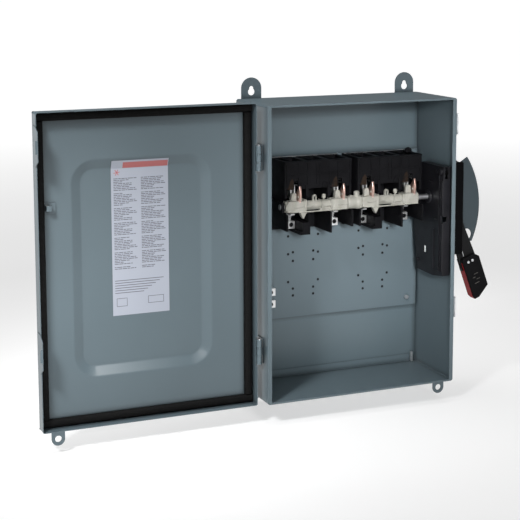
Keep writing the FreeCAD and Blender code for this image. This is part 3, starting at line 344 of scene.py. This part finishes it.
class Shape:
    """A piece drawn in millimetres from closed solids."""

    def __init__(self):
        self.work = bmesh.new()

    def skin(self, rings):
        """Join rings of points into one closed solid with capped ends."""
        loops = [[self.work.verts.new(point) for point in ring] for ring in rings]
        for lower, upper in zip(loops, loops[1:]):
            for step in range(len(lower)):
                after = (step + 1) % len(lower)
                self.work.faces.new((lower[step], lower[after], upper[after], upper[step]))
        self.work.faces.new(list(reversed(loops[0])))
        self.work.faces.new(loops[-1])
        return self

    def prism(self, axis, outline, span):
        return self.skin([[lift(axis, along, *point) for point in outline] for along in span])

    def block(self, x, y, z):
        return self.prism("z", [(x[0], y[0]), (x[1], y[0]), (x[1], y[1]), (x[0], y[1])], z)

    def lathe(self, axis, centre, profile, sides=28):
        """A solid turned about an axis from (place along it, radius) steps."""
        return self.skin([[lift(axis, along, *point) for point in ring_of(radius, sides, centre)]
                          for along, radius in profile])

    def rod(self, axis, centre, radius, span, sides=28):
        return self.lathe(axis, centre, [(end, radius) for end in span], sides)

    def dome(self, axis, centre, radius, span, lip=0.35, sides=28):
        """A rod with a rounded end at the second end of its span."""
        start, end = span
        depth = (end - start) * lip
        steps, tip, fullness = 5, 0.05, 0.6
        cap = [(end - depth + depth * math.sin(a), max(tip, radius * math.cos(a) ** fullness))
               for a in (math.radians(90 * step / steps) for step in range(steps + 1))]
        return self.lathe(axis, centre, [(start, radius), *cap], sides)

    def wire(self, path, radius, sides=10):
        """A round section carried along a path of points without twisting."""
        path = [Vector(point) for point in path]
        last = len(path) - 1
        side = None
        rings = []
        for step, point in enumerate(path):
            ahead = (path[min(step + 1, last)] - path[max(step - 1, 0)]).normalized()
            if side is None:
                side = ahead.cross(Vector((0, 0, 1)) if abs(ahead.z) < 0.9 else Vector((0, 1, 0)))
            side = (side - ahead * side.dot(ahead)).normalized()
            up = side.cross(ahead)
            rings.append([point + side * across + up * rise for across, rise in ring_of(radius, sides)])
        return self.skin(rings)

    def turn(self, axis, angle, pivot):
        """Turn everything drawn so far about an axis through a pivot."""
        turned = Matrix.Rotation(math.radians(angle), 3, axis.upper())
        bmesh.ops.rotate(self.work, verts=self.work.verts, cent=Vector(pivot), matrix=turned)
        return self

    def piece(self, name, slot, body, bevel=0.0, stands_for=(), segments=2):
        """Close the drawing and hand it over as a finished piece."""
        bmesh.ops.recalc_face_normals(self.work, faces=self.work.faces)
        bmesh.ops.scale(self.work, vec=Vector((MM, MM, MM)), verts=self.work.verts)
        mesh = bpy.data.meshes.new(name)
        self.work.to_mesh(mesh)
        self.work.free()
        obj = place(name, mesh, slot, body)
        if bevel:
            soften(obj, bevel * MM, segments)
            paint(obj, slot)
        for node in stands_for:
            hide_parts(node)
        return obj


def melted(obj, slot, voxel, keep, rounds):
    """Join a piece's overlapping solids into one moulded skin with softly rounded edges."""
    joined = obj.modifiers.new("join", "REMESH")
    joined.mode = "VOXEL"
    joined.voxel_size = voxel * MM
    ease = obj.modifiers.new("ease", "SMOOTH")
    ease.factor = 0.5
    ease.iterations = rounds
    thin = obj.modifiers.new("thin", "DECIMATE")
    thin.ratio = keep
    finished(obj)
    smooth(obj)
    paint(obj, slot)


# ---------------------------------------------------------------- places from the frame, and leans
ROTOR_Y, ROTOR_Z = middle("rotor_shaft").yz
POLES = [middle(f"line_terminal_{number}").x for number in (1, 2, 3, 4)]
GROUPS = [middle("line_base_left").x, middle("line_base_right").x]
PIVOT = middle("handle_pivot_pin")

# degrees from the vertical: the blades in the rotor, the handle at OFF
BLADE_LEAN = 14
HANDLE_LEAN = 20


# ---------------------------------------------------------------- rotor
def at_rotor(x, y, z):
    """Spans of a block whose y and z are measured from the rotor's axis."""
    return x, (ROTOR_Y + y[0], ROTOR_Y + y[1]), (ROTOR_Z + z[0], ROTOR_Z + z[1])


def pole_block(bar, pole, collared):
    """A pole's block and flange with a cap and a saddle on top; a collared one has a pointed nub below."""
    body = (pole - 21, pole + (13 if collared else 9))
    shoulder = (pole - 28, pole - 20)
    collar = (pole + 12.6, pole + 15)
    end_lip = (pole - 28.6, pole - 26.8)
    front_ridge = (pole - 12, pole + 9)
    foot = ROTOR_Z + 8
    depth = (ROTOR_Y - 4.5, ROTOR_Y + 6)
    bar.block(*at_rotor(body, (-13, 11), (-12, 12)))
    bar.block(*at_rotor(shoulder, (-12, 10.5), (-11, 11)))
    if collared:
        bar.block(*at_rotor(collar, (-15, 12), (-15, 14.5)))
    bar.block(*at_rotor(end_lip, (-13.2, 10), (-12.4, 12)))
    cap = [(pole - 16.5, foot), (pole - 3.6, foot), (pole - 3.6, ROTOR_Z + 22)]
    cap += ring_of(5.2, 8, (pole - 9.6, ROTOR_Z + 24), 10, 160) + [(pole - 15.5, ROTOR_Z + 21)]
    bar.prism("y", cap, depth)
    saddle = [(pole + 3.4, foot), (pole + 11, foot), (pole + 9, ROTOR_Z + 17), (pole + 5, ROTOR_Z + 19),
              (pole + 3.4, ROTOR_Z + 19)]
    bar.prism("y", saddle, depth)
    bar.block(*at_rotor(front_ridge, (-14.2, -12), (-2, 1)))
    if collared:
        nub = [(pole + 13.2, ROTOR_Z - 10), (pole + 13.2, ROTOR_Z - 18), (pole + 8.2, ROTOR_Z - 27),
               (pole + 3.2, ROTOR_Z - 19), (pole + 1, ROTOR_Z - 10)]
        bar.prism("y", nub, (ROTOR_Y - 13, ROTOR_Y - 2))


def loop_and_stud(bar, group):
    """A loop, a domed stud and the strips between the two pole blocks of a group."""
    hoop, crown = group - 12.6, ROTOR_Z + 18.5
    outside, inside = 4.4, 1.8
    outer = ring_of(outside, 10, (hoop, crown), 0, 180)
    inner = ring_of(inside, 8, (hoop, crown), 180, -180)
    loop = [(hoop + outside, ROTOR_Z), *outer, (hoop - outside, ROTOR_Z), (hoop - inside, ROTOR_Z), *inner,
            (hoop + inside, ROTOR_Z)]
    bar.prism("y", loop, (ROTOR_Y - 4.5, ROTOR_Y + 2))
    stud = (group + 10, ROTOR_Y)
    bar.rod("z", stud, 1.9, (ROTOR_Z, ROTOR_Z + 15), 14)
    bar.dome("z", stud, 4.3, (ROTOR_Z + 13, ROTOR_Z + 22.5), 0.3, 20)
    tie, fin, ledge = (group - 3, group + 22), (group + 1, group + 2.6), (group - 54, group + 40)
    for across in (-27, 27):
        ridge = (group + across - 9, group + across + 9)
        bar.block(*at_rotor(ridge, (-11.5, -8), (-1.6, 1.6)))
    bar.block(*at_rotor(tie, (-12, 4), (-10.6, -7)))
    bar.block(*at_rotor(fin, (-12.5, 9), (-12.5, 11.5)))
    bar.block(*at_rotor(ledge, (-15.5, -9), (-12.4, -10.2)))


def crossbar():
    """Cream moulded bar: a block for each pole, loops and studs between, a collar in the middle."""
    low, high = corners("crossbar")
    axis = (ROTOR_Y, ROTOR_Z)
    sleeve = 10
    centre = sum(GROUPS) / 2
    end_lug = (low.x, low.x + 7)
    middle_lug = (centre - 14, centre - 10)
    end_collar = [(low.x, 8), (low.x + 1, 11.5), (low.x + 9, 12.5), (low.x + 10, 9)]
    middle_collar = [(centre - 24, sleeve), (centre - 22, 13.5), (centre - 3, 14.2), (centre + 2, 15.6),
                     (centre + 8, 15.6), (centre + 10, 13)]
    bar = Shape().rod("x", axis, sleeve, (low.x + 2, high.x), 40)
    bar.lathe("x", axis, end_collar, 40)
    bar.block(*at_rotor(end_lug, (-14, -6), (-7, 5)))
    for number, pole in enumerate(POLES):
        pole_block(bar, pole, collared=number % 2 == 0)
    for group in GROUPS:
        loop_and_stud(bar, group)
    bar.lathe("x", axis, middle_collar, 40)
    bar.dome("z", (centre + 0.3, ROTOR_Y - 3), 6.0, (ROTOR_Z, ROTOR_Z + 24.5), 0.12)
    bar.block(*at_rotor(middle_lug, (-4, 4), (8, 15.5)))
    obj = bar.piece("crossbar_moulding", "crossbar_moulding", "rotor", stands_for=["crossbar"])
    melted(obj, "crossbar_moulding", voxel=0.75, keep=0.35, rounds=3)


def blades():
    """Pointed copper blades with ground edges and a rivet, leaning out of their blocks."""
    reach = 46
    half = 2.5
    ground_edge = 1.1
    rear = [(10.5, 4), (10.5, 18), (8.6, 27), (4.6, 36), (-1.4, reach)]
    front = [(-4.2, reach - 3), (-8.2, 35), (-10.5, 27), (-10.5, 4)]
    for number, pole in enumerate(POLES, 1):
        outline = [(ROTOR_Y + across, ROTOR_Z + up) for across, up in rear + front]
        left = pole - half
        blade = Shape().prism("x", outline, (left, pole + half))
        blade.turn("x", BLADE_LEAN, (0, ROTOR_Y, ROTOR_Z))
        obj = blade.piece(f"blade_{number}", "copper_blade", "rotor", ground_edge, segments=3)
        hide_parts("rotor_blades")
        rivet = Shape().dome("x", (ROTOR_Y - 9, ROTOR_Z + 21), 2.2, (left + 0.2, left - 1.2), 0.6)
        rivet.piece(f"blade_rivet_{number}", "tinned", "rotor")


# ---------------------------------------------------------------- switch bases
def base_ribs(side, group):
    """Ribs, ledges and wire-hole arches on an upper base's front."""
    low, high = corners(f"line_base_{side}")
    face = low.y
    foot = 440
    arch_outside, arch_inside, arch_foot = 6.5, 4.7, 433.6
    ribs = Shape()
    for across in (-74, -46, -25.4, -4, 4, 25.4, 46, 74):
        x = group + across
        rib = [(x - 1.3, face + 0.5), (x + 1.3, face + 0.5), (x + 0.8, face - 1.3), (x - 0.8, face - 1.3)]
        ribs.prism("z", rib, (foot, high.z - 4))
    ribs.block((low.x + 0.4, high.x - 0.4), (face - 1.4, face + 2), (high.z - 3.4, high.z - 0.6))
    ribs.block((low.x + 6, high.x - 6), (face - 0.9, face + 1), (462, 463.6))
    for across in (-35, 15.5, 40):
        x = group + across
        outer = ring_of(arch_outside, 10, (x, foot), 0, 180)
        inner = ring_of(arch_inside, 10, (x, foot), 180, -180)
        arch = [(x + arch_outside, arch_foot), *outer, (x - arch_outside, arch_foot),
                (x - arch_inside, arch_foot), *inner, (x + arch_inside, arch_foot)]
        ribs.prism("y", arch, (face - 1.6, face + 0.5))
    ribs.piece(f"base_ribs_{side}", "base_moulding", "root", 0.35)


def window_ribs(side, group):
    """A rib in and a lip behind each of an upper base's three chambers, and a bright steel strip along its
    top that paints the highlight on the pan's top edge.
    """
    low, high = corners(f"line_base_{side}")
    chamber = 50.8
    lip_top = high.z + 1.2
    lips = Shape()
    for x in (group - chamber, group, group + chamber):
        lips.block((x - 10.9, x - 9.1), (-84, -24), (high.z - 11, lip_top))
        lips.block((x - 22.2, x + 18.3), (-24.6, -22.6), (high.z - 2, lip_top))
    lips.piece(f"window_ribs_{side}", "base_moulding", "root", 0.3)
    # painted highlight: the bright steel strip stands in for the light caught by the pan's top edge above the
    # base
    top_highlight_strip = Shape().block((low.x + 1, high.x - 1), (-21, -19.6), (high.z + 0.2, high.z + 1.8))
    top_highlight_strip.piece(f"base_top_highlight_strip_{side}", "steel", "root", 0.3)


def arc_shield(number, pole):
    """Pointed brown fibre shield in front of a pole's chamber, its brown partly a painted reflection, and the
    steel arc plates behind it.
    """
    foot, shoulder = 432.5, 450
    shield = [(pole - 21, foot), (pole - 6.4, foot), (pole - 6.4, shoulder), (pole - 10, 455.5),
              (pole - 15, shoulder)]
    # painted reflection: the shield's brown stands in for the brown glow beside each blade
    Shape().prism("y", shield, (-90.9, -89.4)).piece(f"arc_shield_{number}", "fibre", "root", 0.4)
    count, lowest, pitch, thick = 5, 437, 6, 1.6
    plates = Shape()
    for step in range(count):
        up = lowest + step * pitch
        for left, right in ((-19, -8), (8, 17)):
            plates.block((pole + left, pole + right), (-83, -60), (up, up + thick))
    plates.piece(f"arc_plates_{number}", "steel", "root", 0.3)


def base_details():
    """What is moulded on or fitted into the switch bases, and the boss at the right base's corner."""
    for side, group in zip(("left", "right"), GROUPS):
        base_ribs(side, group)
        window_ribs(side, group)
    for number, pole in enumerate(POLES, 1):
        arc_shield(number, pole)
    corner = corners("line_base_right")[1]
    boss = Shape()
    boss.lathe("y", (corner.x - 8, corner.z + 2), [(-40, 6.2), (-41, 7.4), (-44, 7.8), (-46, 7.2),
                                                  (-46.2, 5), (-44.6, 4.6)])
    boss.block((corner.x - 14, corner.x - 2), (-42, -30), (corner.z - 4, corner.z + 1))
    boss.piece("base_boss", "base_moulding", "root")


# ---------------------------------------------------------------- mechanism
def cover_trim():
    """Beads, ledges, knobs and screw heads on the mechanism's black cover."""
    low, _ = corners("mechanism_housing")
    face, front = low.x, low.y
    large_knob = [(face - 3.2, 4), (face - 2.6, 6), (face + 2, 6.4), (face + 12, 6.4)]
    small_knob = [(face - 2, 3), (face - 1.6, 4.4), (face + 2, 4.6)]
    shaft_collar = [(face - 2.2, 8), (face - 1.8, 13), (face - 0.6, 14.5), (face + 1, 15)]
    screw_head = [(face - 1.6, 2.2), (face - 1.5, 3.6), (face - 0.9, 4.3), (face + 1, 4.6)]
    trim = Shape()
    for start, end in ((242, 346), (366, 440)):
        trim.wire([(face + 1.2, front + 0.6, start), (face + 1.2, front + 0.6, end)], 1.5, 12)
    trim.block((face - 1.2, face + 1), (-113, -98), (431, 433))
    trim.block((face - 0.8, face + 1), (-136, -124), (352, 353.4))
    trim.lathe("x", (-148, 459), large_knob)
    trim.lathe("x", (-133, 457), small_knob, 24)
    trim.lathe("x", (ROTOR_Y, ROTOR_Z), shaft_collar, 36)
    for spot in ((-52, 250), (-42, 452), (-140, 246)):
        trim.lathe("x", spot, screw_head, 24)
    trim.piece("cover_trim", "housing_moulding", "root")


def drive_coil():
    """The drive spring's coil, drawn once at the length of the CAD spring."""
    low, high = corners("drive_spring")
    centre = (low + high) / 2
    wire = 0.8
    turns, steps = 12, 20
    radius = (high.x - low.x) / 2 - wire
    rise = high.z - low.z - 2 * wire
    path = []
    for step in range(turns * steps + 1):
        share = step / (turns * steps)
        angle = math.radians(360 * step / steps)
        path.append((centre.x + radius * math.cos(angle), centre.y + radius * math.sin(angle),
                     low.z + wire + rise * share))
    spring = Shape().wire(path, wire, 8).piece("drive_coil", "steel", "root", stands_for=["drive_spring"])
    smooth(spring)
    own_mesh(spring)


# ---------------------------------------------------------------- outside handle
def guard_rim():
    """Rolled rim along the guard plate's round edge."""
    centre_x, centre_z, radius = 117.5, 375, 197
    wire = 1.75
    line = radius - 1.1
    rim = [(centre_x + line * math.cos(math.radians(angle)), PIVOT.y,
            centre_z + line * math.sin(math.radians(angle))) for angle in range(-23, 33, 2)]
    Shape().wire(rim, wire, 8).piece("guard_rim", "guard_paint", "root")


def leaning_piece(shape, name, slot, **settings):
    """Finish a piece drawn with the handle straight down: turn it to the handle's place at OFF."""
    shape.turn("y", -HANDLE_LEAN, PIVOT)
    shape.piece(name, slot, "handle", **settings)


def handle_details():
    """Marks, ridges and screw heads on the grip, a black bead along the arm, and a bright zinc bead that
    paints the highlight on the arm's edge.
    """
    front = PIVOT.y - 14
    grip_side = PIVOT.x + 25.2
    arm_face = PIVOT.y - 5.4
    arm_end = 104
    marks = Shape()
    for across, down, half_wide in ((4, 150, 5), (-3, 157, 3.4), (6, 163, 4.4), (0, 171, 6)):
        x, z = PIVOT.x + across, PIVOT.z - down
        marks.block((x - half_wide, x + half_wide), (front - 0.45, front + 0.3), (z - 0.9, z + 0.9))
    leaning_piece(marks, "grip_marks", "mark_grey", bevel=0.25)

    ridges = Shape()
    for down in range(130, 186, 7):
        ridges.wire([(grip_side, PIVOT.y + across, PIVOT.z - down) for across in (-9, 9)], 1.5)
    leaning_piece(ridges, "grip_ridges", "grip_black")

    # the zinc inner bead is a painted highlight: a bright line for the light caught on the arm's edge
    for name, slot, across, start, thick in (("arm_bead_outer", "black_steel", -12.5, 50, 1.0),
                                             ("arm_highlight_bead", "zinc", -8, 66, 0.8)):
        line = [(PIVOT.x + across, arm_face, PIVOT.z - down) for down in (start, arm_end)]
        leaning_piece(Shape().wire(line, thick, 8), name, slot)

    heads = Shape()
    for across in (-5.4, 5.4):
        heads.dome("y", (PIVOT.x + across, PIVOT.z - 118), 3.1, (front + 0.4, front - 1.6), 0.6)
    leaning_piece(heads, "grip_screw_heads", "zinc", stands_for=["handle_screws"])


# ---------------------------------------------------------------- door
def gasket():
    """Black foam strip with a crowned face, laid round the door's flange and butted at the corners."""
    low, high = corners("door_gasket")
    wide = 17
    inset = wide / 2
    thick = high.y - low.y
    gap = 0.25
    half_crown = [(inset * 0.45, thick * 0.97), (inset * 0.82, thick * 0.8), (inset, thick * 0.45),
                  (inset - 0.2, 0)]
    section = [(-across, up) for across, up in reversed(half_crown)] + [(0, thick)] + half_crown
    left, right, bottom, top = low.x + inset, high.x - inset, low.z + inset, high.z - inset
    strip = Shape()
    for line in (bottom, top):
        outline = [(high.y - up, line + across) for across, up in section]
        strip.prism("x", outline, (left - inset, right + inset))
    for line in (left, right):
        outline = [(line + across, high.y - up) for across, up in section]
        strip.prism("z", outline, (bottom + inset + gap, top - inset - gap))
    strip.piece("gasket_strip", "foam", "door", 0.6, stands_for=["door_gasket"])


def slanted(centre, half_long, half_wide, angle):
    """Corners of a thin bar turned by an angle in degrees."""
    along = Vector((math.cos(math.radians(angle)), math.sin(math.radians(angle))))
    across = Vector((-along.y, along.x))
    return [tuple(Vector(centre) + along * half_long * i + across * half_wide * j)
            for i, j in ((-1, -1), (1, -1), (1, 1), (-1, 1))]


class Label:
    """Paper label pressed into the door's field, its top edge carried a little way up the slope."""

    paper = 0.35
    ink = 0.06
    ink_sink = 0.02
    slope = 8 / 21

    def __init__(self):
        self.low, self.high = corners("label_plate")
        self.top = self.high.z + 15.5
        self.wide = self.high.x - self.low.x

    def layer(self, shape, left, right, levels, raised, thick):
        """A thin sheet that follows the field: distances from the label's left edge, heights in the door."""
        rings = []
        for up in levels:
            back = self.high.y - self.slope * max(0.0, up - self.high.z + 1) - raised
            front = back - thick
            start, end = self.low.x + left, self.low.x + right
            rings.append([(start, back, up), (end, back, up), (end, front, up), (start, front, up)])
        shape.skin(rings)

    def print_bar(self, shape, left, right, levels):
        self.layer(shape, left, right, levels, self.paper - self.ink_sink, self.ink)

    def sheet(self):
        low, high = self.low, self.high
        sheet = Shape()
        self.layer(sheet, 0, self.wide, (low.z, low.z + 150, high.z - 1, high.z + 5, self.top), 0, self.paper)
        sheet.piece("label_sheet", "label", "door", stands_for=["label_plate"])

    def header(self):
        header = Shape()
        levels = (self.top - 16, self.high.z + 4, self.top - 4)
        self.print_bar(header, self.wide * 0.20, self.wide - 1.5, levels)
        header.piece("label_header", "label_red", "door")

    def words(self, lines, column, start, end):
        """A column of grey bars in place of print: rows of unequal length, with a gap after each block."""
        lengths = (0.96, 0.78, 0.9, 0.62, 0.97, 0.85, 0.5)
        words = (9, 5, 7, 3.5, 11, 6, 8)
        rows, block = 56, 9
        first, pitch, tall, space = self.top - 36, 3.3, 1.5, 1.2
        for row in range(rows):
            if row % block == block - 1:
                continue
            up = first - pitch * row
            limit = start + (end - start) * lengths[(row * 3 + column * 2) % len(lengths)]
            across = start
            turn = row * 2 + column
            word = words[turn % len(words)]
            while across + word < limit:
                self.print_bar(lines, across, across + word, (up - tall, up))
                across += word + space
                turn += 1
                word = words[turn % len(words)]

    def lines(self):
        """Two columns of words, a tapering paragraph and two empty frames below."""
        wide, low = self.wide, self.low
        line = 1
        lines = Shape()
        for column, (start, end) in enumerate(((5, wide * 0.48), (wide * 0.52, wide - 4))):
            self.words(lines, column, start, end)
        for row in range(6):
            up = low.z + 70 - 5 * row
            self.print_bar(lines, 5, wide * (0.9 - 0.07 * row), (up, up + 1.4))
        for left, right, up, tall in ((8, 30, 18, 16), (wide * 0.62, wide * 0.9, 20, 14)):
            for edge in (low.z + up, low.z + up + tall):
                self.print_bar(lines, left, right, (edge, edge + line))
            for edge in (left, right - line):
                self.print_bar(lines, edge, edge + line, (low.z + up + line, low.z + up + tall))
        lines.piece("label_lines", "label_grey", "door")

    def mark(self):
        """A plain star of three bars, left of the header and a little below it."""
        spot = (self.low.x + self.wide * 0.1, self.high.z - 9)
        face = self.high.y - self.paper
        mark = Shape()
        for angle in (10, 65, 125):
            mark.prism("y", slanted(spot, 6.5, 0.7, angle), (face - self.ink, face + self.ink_sink))
        mark.piece("label_mark", "label_red", "door")


def label():
    drawing = Label()
    drawing.sheet()
    drawing.header()
    drawing.lines()
    drawing.mark()


# ---------------------------------------------------------------- enclosure
def enclosure_details():
    """Back flange strip with its end plate, whose bright zinc paints the edge highlight at the strip's right
    end, and weld dimples on the wall tabs.
    """
    low, high = corners("enclosure_box")
    back = -4.6
    strip_end = high.x - 14
    strip = Shape().block((low.x + 4, strip_end), (back - 1.2, back), (2.2, 19))
    strip.block((low.x + 4, strip_end), (back - 4, back - 1), (2.2, 3.6))
    strip.piece("back_strip", "enamel", "root", 0.3)
    # the end plate is partly real and partly a painted highlight: its bright zinc stands in for the edge
    # highlight at that corner
    plate = Shape().block((strip_end, high.x - 9), (back - 6, back), (2.2, 24))
    plate.piece("strip_end", "zinc", "root", 0.5)

    weld_profile = ((0.6, 5), (0.12, 4.6), (0.05, 3.0), (0.3, 2.4))
    welds = Shape()
    for tab in ("top_left", "top_right", "bottom_left", "bottom_right"):
        tab_low, tab_high = corners("wall_tab_" + tab)
        heights = (tab_low.z + 12, tab_low.z + 44) if "top" in tab else (tab_high.z - 12, tab_high.z - 44)
        for x in (tab_low.x + 11, tab_high.x - 11):
            for z in heights:
                welds.lathe("y", (x, z), [(tab_high.y - depth, radius) for depth, radius in weld_profile], 24)
    welds.piece("tab_welds", "enamel", "root")


def pan_details():
    """Dark rims round the pan's tapped holes, which lie in mirrored pairs beside each group's middle."""
    face = corners("mounting_pan")[0].y
    holes = [(35.8, 317), (24.4, 281), (35.8, 277.5), (24.4, 261.7), (35.8, 215.6), (24.4, 200.1),
             (24.4, 184.8)]
    rim = [(face + 0.4, 2.9), (face - 0.2, 2.7), (face - 0.2, 2.0), (face + 0.3, 1.8)]
    rims = Shape()
    for group in GROUPS:
        for across, up in holes:
            for x in (group - across, group + across):
                rims.lathe("y", (x, up), rim, 20)
    rims.piece("pan_hole_rims", "black_steel", "root")


# ---------------------------------------------------------------- dressed CAD parts
# rounding of edges in millimetres
EDGE = 0.35
EDGES = {
    "handle_grip": 1.4, "grip_insert": 0.8, "handle_hood": 0.9, "mechanism_housing": 1.0,
    "line_base_left": 0.7, "line_base_right": 0.7, "load_base_left": 0.6, "load_base_right": 0.6,
}

# rounding of shallow pressed folds in millimetres
PRESSED = {"door_panel": 2.5}

# nodes whose finish is not their record slot's
LOOKS = {"guard_plate": "guard_paint", "lug_screws": "black_steel", "handle_pivot_pin": "hood_moulding",
         "handle_arm": "black_steel"}

# nodes that get a mesh of their own in place of a dressed copy
DRAWN = {"crossbar", "rotor_blades", "drive_spring", "handle_screws", "door_gasket", "label_plate"}


def dress_all():
    for node in nodes:
        if node not in DRAWN:
            dressed(node, EDGES.get(node, EDGE), LOOKS.get(node, slot_of[node]), PRESSED.get(node, 0.0))


# ---------------------------------------------------------------- stage, light and camera
def plain_world():
    world = bpy.data.worlds.new("studio")
    world.use_nodes = True
    sky = world.node_tree.nodes["Background"]
    sky.inputs["Color"].default_value = (1.0, 1.0, 1.0, 1)
    sky.inputs["Strength"].default_value = 0.12
    bpy.context.scene.world = world


def floor():
    """A wide pale floor just below the object that glows more with distance."""
    low, _ = cad_box
    gap = 0.004
    bpy.ops.mesh.primitive_plane_add(size=240, location=(0, 0, low.z - gap))
    obj = bpy.context.object
    obj.name = "studio_floor"
    recipe = Recipe("pale_floor").set(Specular_IOR_Level=0.1, Emission_Color=(1, 1, 1, 1))
    away = recipe.node("VectorMath", {0: recipe.node("NewGeometry").outputs["Position"]}, operation="LENGTH")
    glow = recipe.node("MapRange", {"Value": away.outputs["Value"], "From Min": 1.5, "From Max": 5.0,
                                    "To Min": 0.58, "To Max": 0.97})
    recipe.feed("Emission Strength", glow.outputs[0])
    recipe.feed("Base Color", recipe.ramp(recipe.noise(1.5), (0.3, 0.40), (0.7, 0.43)))
    recipe.feed("Roughness", recipe.ramp(recipe.noise(4.0), (0.3, 0.8), (0.7, 0.9)))
    obj.data.materials.append(recipe.material)


def area_light(name, place_at, aim, size, power, spread=180):
    """A rectangular light in metres and watts; its spread is in degrees."""
    light = bpy.data.lights.new(name, "AREA")
    light.shape = "RECTANGLE"
    light.size, light.size_y = size
    light.energy = power
    light.spread = math.radians(spread)
    obj = bpy.data.objects.new(name, light)
    obj.location = place_at
    obj.rotation_euler = (Vector(aim) - Vector(place_at)).to_track_quat("-Z", "Y").to_euler()
    bpy.context.scene.collection.objects.link(obj)


def lights():
    area_light("front", (-1.0, -3.8, 1.2), (-0.22, -0.1, 0.31), (1.2, 1.2), 3)
    area_light("door", (-2.45, -1.85, 2.7), (-0.60, -0.15, 0.31), (0.7, 0.7), 3.6, 20)
    area_light("glint", (-0.11, -2.6, 1.1), (-0.68, -0.15, 0.25), (0.10, 0.10), 0.4, 16)
    area_light("inside", (-0.6, -2.4, 0.95), (0.10, -0.05, 0.35), (0.55, 0.55), 1.55, 15)
    area_light("top", (-0.2, 0.0, 2.6), (-0.22, -0.1, 0.2), (2.0, 1.4), 44)


def camera():
    data = bpy.data.cameras.new("camera")
    data.sensor_width = 36
    data.lens = 94.63
    data.shift_y = -0.2
    obj = bpy.data.objects.new("camera", data)
    obj.location = (-1.2864, -2.6793, 0.8878)
    obj.rotation_euler = [math.radians(angle) for angle in (82.299, 0.159, -22.759)]
    bpy.context.scene.collection.objects.link(obj)
    bpy.context.scene.camera = obj


camera()
plain_world()
floor()
lights()
dress_all()
crossbar()
blades()
base_details()
cover_trim()
drive_coil()
guard_rim()
handle_details()
gasket()
label()
enclosure_details()
pan_details()
bpy.context.scene.view_settings.view_transform = "Standard"
